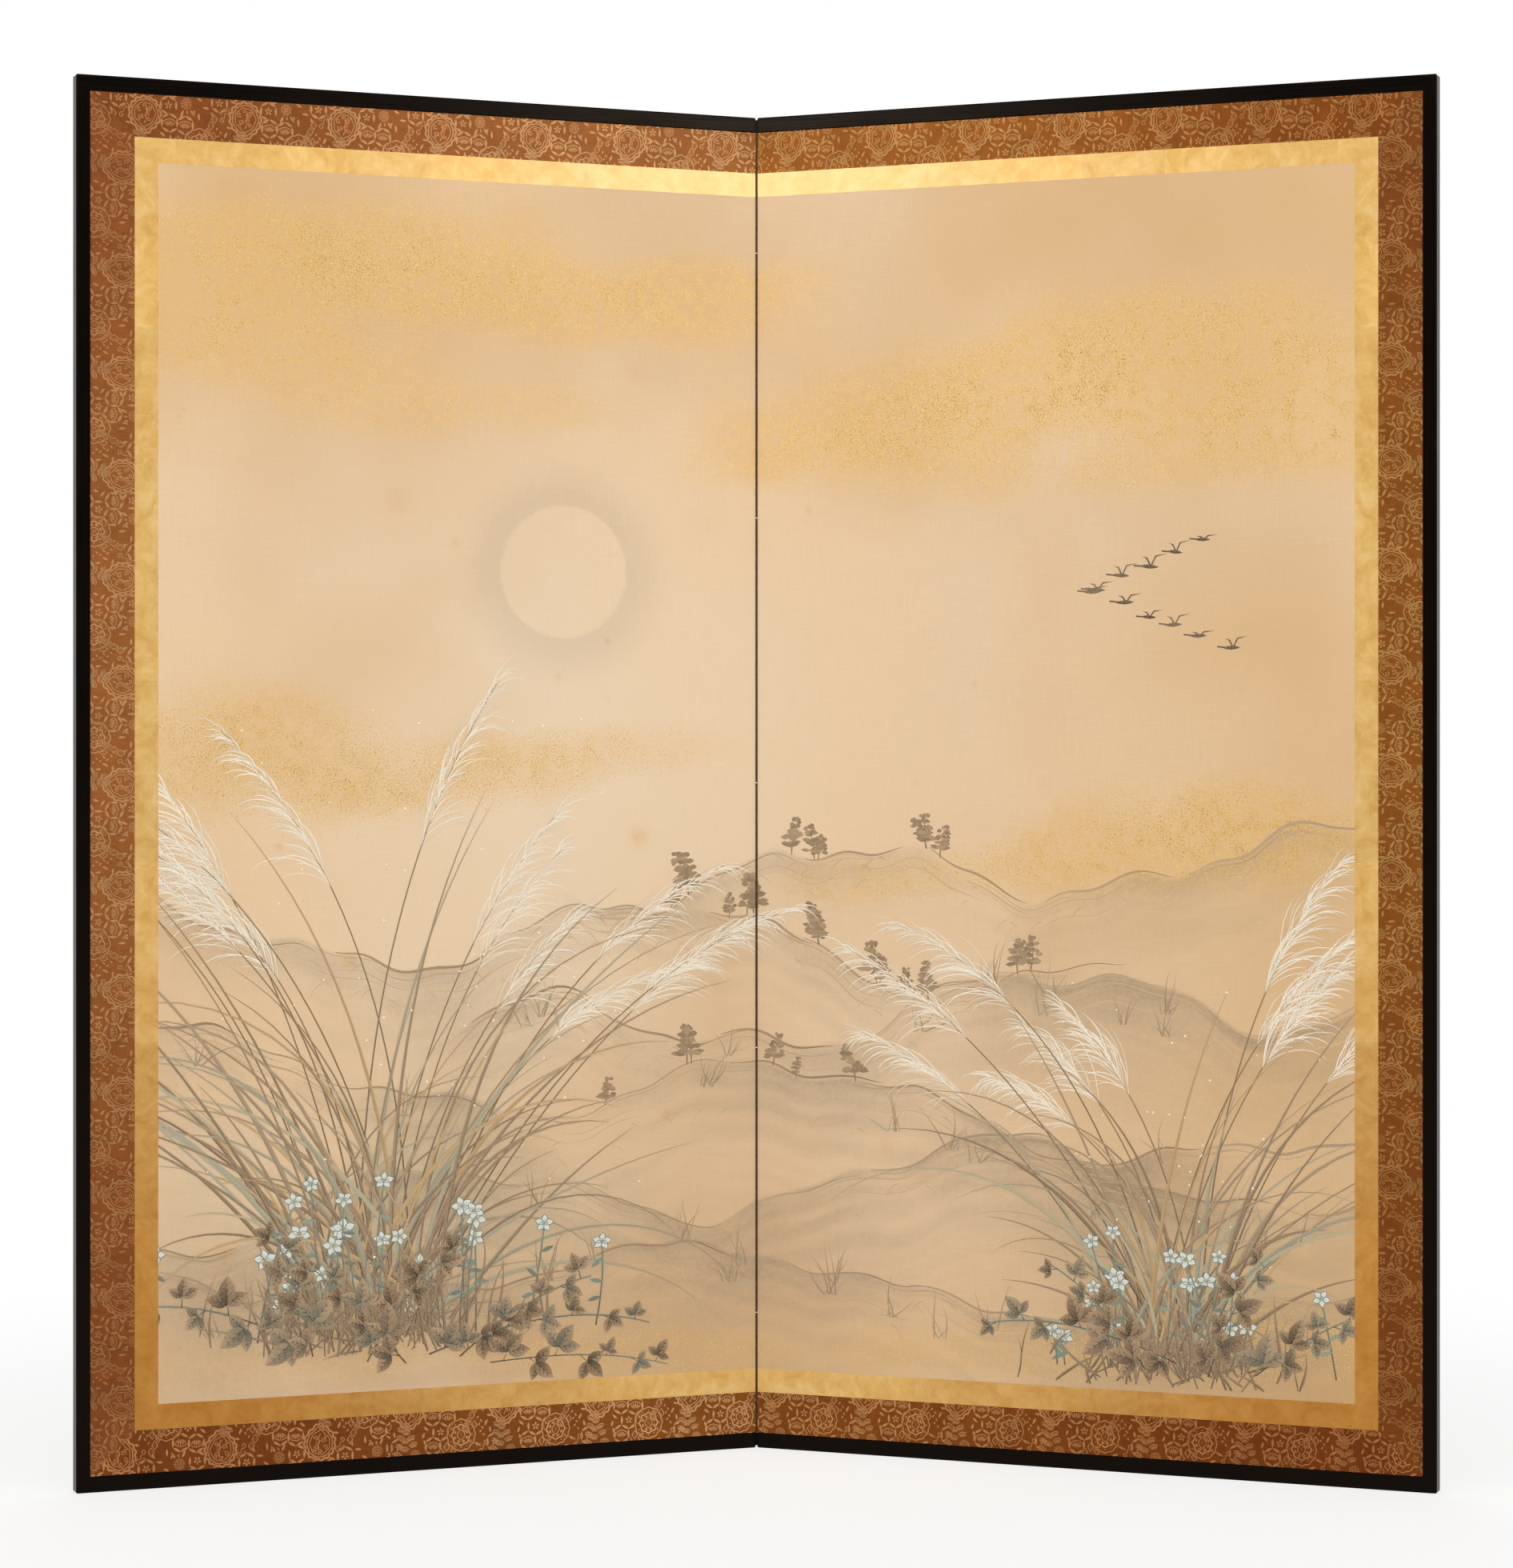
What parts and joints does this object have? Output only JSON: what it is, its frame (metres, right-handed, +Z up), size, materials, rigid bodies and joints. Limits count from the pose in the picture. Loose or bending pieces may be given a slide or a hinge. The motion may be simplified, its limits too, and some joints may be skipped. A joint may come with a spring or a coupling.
{
  "type": "folding screen",
  "caption": "Free-standing folding screen: paper-hinged panels with a painted silk picture, gold and brocade borders and a black lacquered frame.",
  "frame": {"origin": "on the floor, at the middle of the box of the screen as it stands partly folded", "axes": "+Z up; the picture faces -Y; +X to the right as seen from the front; the fold line is at X = 0, behind both outer edges"},
  "size_m": [1.6608, 0.3419, 1.72],
  "materials": {
    "black_lacquer": "black lacquer on wood, satin gloss",
    "brocade": "brown silk brocade with tan and orange figures",
    "gold_leaf": "gold leaf on paper, soft metallic sheen",
    "painted_silk": "plain silk with ink, colour and gold dust",
    "back_paper": "printed paper, matt",
    "lining_paper": "layered mulberry paper, matt",
    "hinge_paper": "strong mulberry paper, matt",
    "cedar": "planed cedar, bare",
    "bamboo": "split bamboo",
    "cypress": "planed cypress, bare",
    "steel_pin": "plain wire"
  },
  "bodies": {
    "left_panel": {"left_fold_stile": "cedar", "left_outer_stile": "cedar", "left_core_top_rail": "cedar", "left_core_bottom_rail": "cedar", "left_lattice_uprights": "cedar", "left_lattice_crossbars": "cedar", "left_corner_braces": "cedar", "left_core_pegs": "bamboo", "left_front_lining": "lining_paper", "left_back_lining": "lining_paper", "left_edge_paper": "hinge_paper", "left_front_hinge_flaps": "hinge_paper", "left_back_hinge_flaps": "hinge_paper", "left_back_paper": "back_paper", "left_silk_picture": "painted_silk", "left_gold_top": "gold_leaf", "left_gold_bottom": "gold_leaf", "left_gold_side": "gold_leaf", "left_brocade_top": "brocade", "left_brocade_bottom": "brocade", "left_brocade_side": "brocade", "left_top_rail": "black_lacquer", "left_bottom_rail": "black_lacquer", "left_side_rail": "black_lacquer", "left_mitre_keys": "cypress", "left_rail_pins": "steel_pin"},
    "leaves_a": {"hinge_leaves_a": "hinge_paper"},
    "right_panel": {"right_fold_stile": "cedar", "right_outer_stile": "cedar", "right_core_top_rail": "cedar", "right_core_bottom_rail": "cedar", "right_lattice_uprights": "cedar", "right_lattice_crossbars": "cedar", "right_corner_braces": "cedar", "right_core_pegs": "bamboo", "right_front_lining": "lining_paper", "right_back_lining": "lining_paper", "right_edge_paper": "hinge_paper", "right_front_hinge_flaps": "hinge_paper", "right_back_hinge_flaps": "hinge_paper", "right_back_paper": "back_paper", "right_silk_picture": "painted_silk", "right_gold_top": "gold_leaf", "right_gold_bottom": "gold_leaf", "right_gold_side": "gold_leaf", "right_brocade_top": "brocade", "right_brocade_bottom": "brocade", "right_brocade_side": "brocade", "right_top_rail": "black_lacquer", "right_bottom_rail": "black_lacquer", "right_side_rail": "black_lacquer", "right_mitre_keys": "cypress", "right_rail_pins": "steel_pin"},
    "leaves_b": {"hinge_leaves_b": "hinge_paper"}
  },
  "joints": [
    {"name": "front_fold", "type": "hinge", "parent": "leaves_a", "child": "left_panel", "pos_m": [0, 0.15266, 0.86], "axis": [0, 0, -1], "range_deg": [-137, 43]},
    {"name": "back_fold", "type": "hinge", "parent": "leaves_a", "child": "right_panel", "pos_m": [0.00755, 0.17183, 0.86], "axis": [0, 0, 1], "range_deg": [0, 180]},
    {"name": "leaf_b_fold", "type": "hinge", "parent": "right_panel", "child": "leaves_b", "pos_m": [0, 0.15266, 0.86], "axis": [0, 0, -1], "range_deg": [-137, 43]}
  ],
  "couplings": [
    {"joint": "leaf_b_fold", "follows": "front_fold", "ratio": 1}
  ]
}
